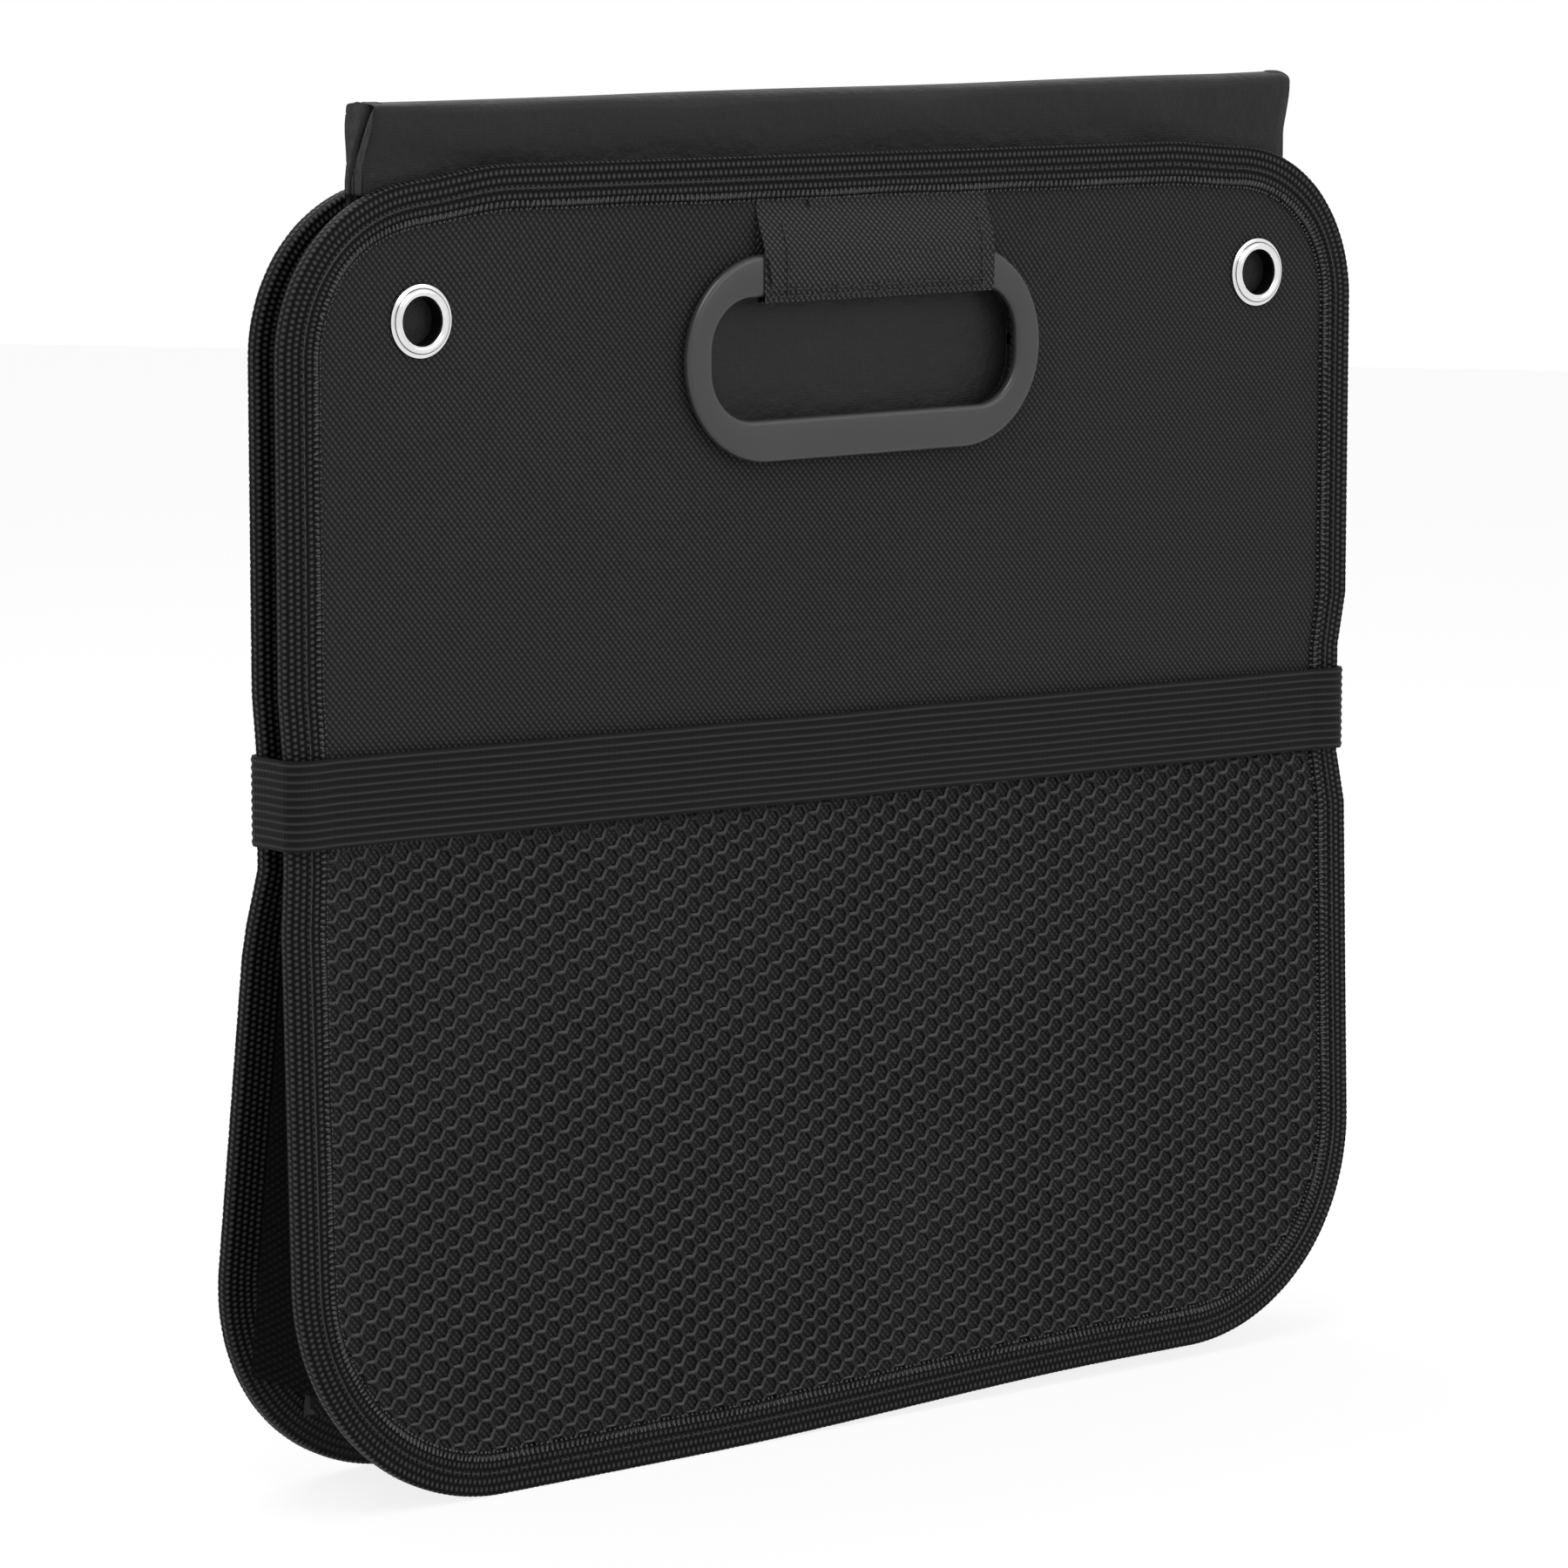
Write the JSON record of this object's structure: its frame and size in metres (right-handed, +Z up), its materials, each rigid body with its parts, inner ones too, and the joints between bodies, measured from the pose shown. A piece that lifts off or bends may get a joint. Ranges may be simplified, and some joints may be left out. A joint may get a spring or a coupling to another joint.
{
  "type": "folded trunk organizer",
  "caption": "Collapsible cloth box for a car's luggage space, folded flat between its stiff end panels and held shut by an elastic band, with a carrying handle and a net pocket.",
  "frame": {"origin": "middle of the footprint, on the surface that the folded box stands on", "axes": "+Z up, -Y out of the front end panel, +X to the right seen from the front"},
  "size_m": [0.3184, 0.042, 0.3127],
  "materials": {
    "woven_polyester": "plain woven polyester cloth, matt",
    "binding_tape": "coarse woven edge tape, matt",
    "satin_lining": "smooth fine lining cloth, slight sheen",
    "net": "knitted hexagonal net of shiny thread",
    "elastic": "ribbed woven elastic",
    "ring_plastic": "moulded plastic, satin",
    "nickel": "bright nickel plate",
    "stiffening_board": "plain board, hidden"
  },
  "bodies": {
    "folded_box": {"front_cover": "woven_polyester", "front_board": "stiffening_board", "front_lining": "satin_lining", "front_binding": "binding_tape", "front_left_eyelet": "nickel", "front_left_washer": "nickel", "front_right_eyelet": "nickel", "front_right_washer": "nickel", "back_cover": "woven_polyester", "back_board": "stiffening_board", "back_lining": "satin_lining", "back_binding": "binding_tape", "back_left_eyelet": "nickel", "back_left_washer": "nickel", "back_right_eyelet": "nickel", "back_right_washer": "nickel", "front_net_pocket": "net", "front_pocket_hem": "binding_tape", "base_cover": "satin_lining", "base_front_board": "stiffening_board", "base_back_board": "stiffening_board", "base_underside": "woven_polyester", "left_side_wall": "woven_polyester", "right_side_wall": "woven_polyester", "elastic_band": "elastic"},
    "front_handle": {"front_handle_ring": "ring_plastic", "front_handle_strap": "woven_polyester"},
    "back_handle": {"back_handle_ring": "ring_plastic", "back_handle_strap": "woven_polyester"}
  },
  "joints": [
    {"name": "front_handle_swing", "type": "hinge", "parent": "folded_box", "child": "front_handle", "pos_m": [0.003, -0.01633, 0.285], "axis": [-1, 0, 0], "range_deg": [0, 100]},
    {"name": "back_handle_swing", "type": "hinge", "parent": "folded_box", "child": "back_handle", "pos_m": [-0.003, -0.00273, 0.285], "axis": [1, 0, 0], "range_deg": [0, 100]}
  ]
}
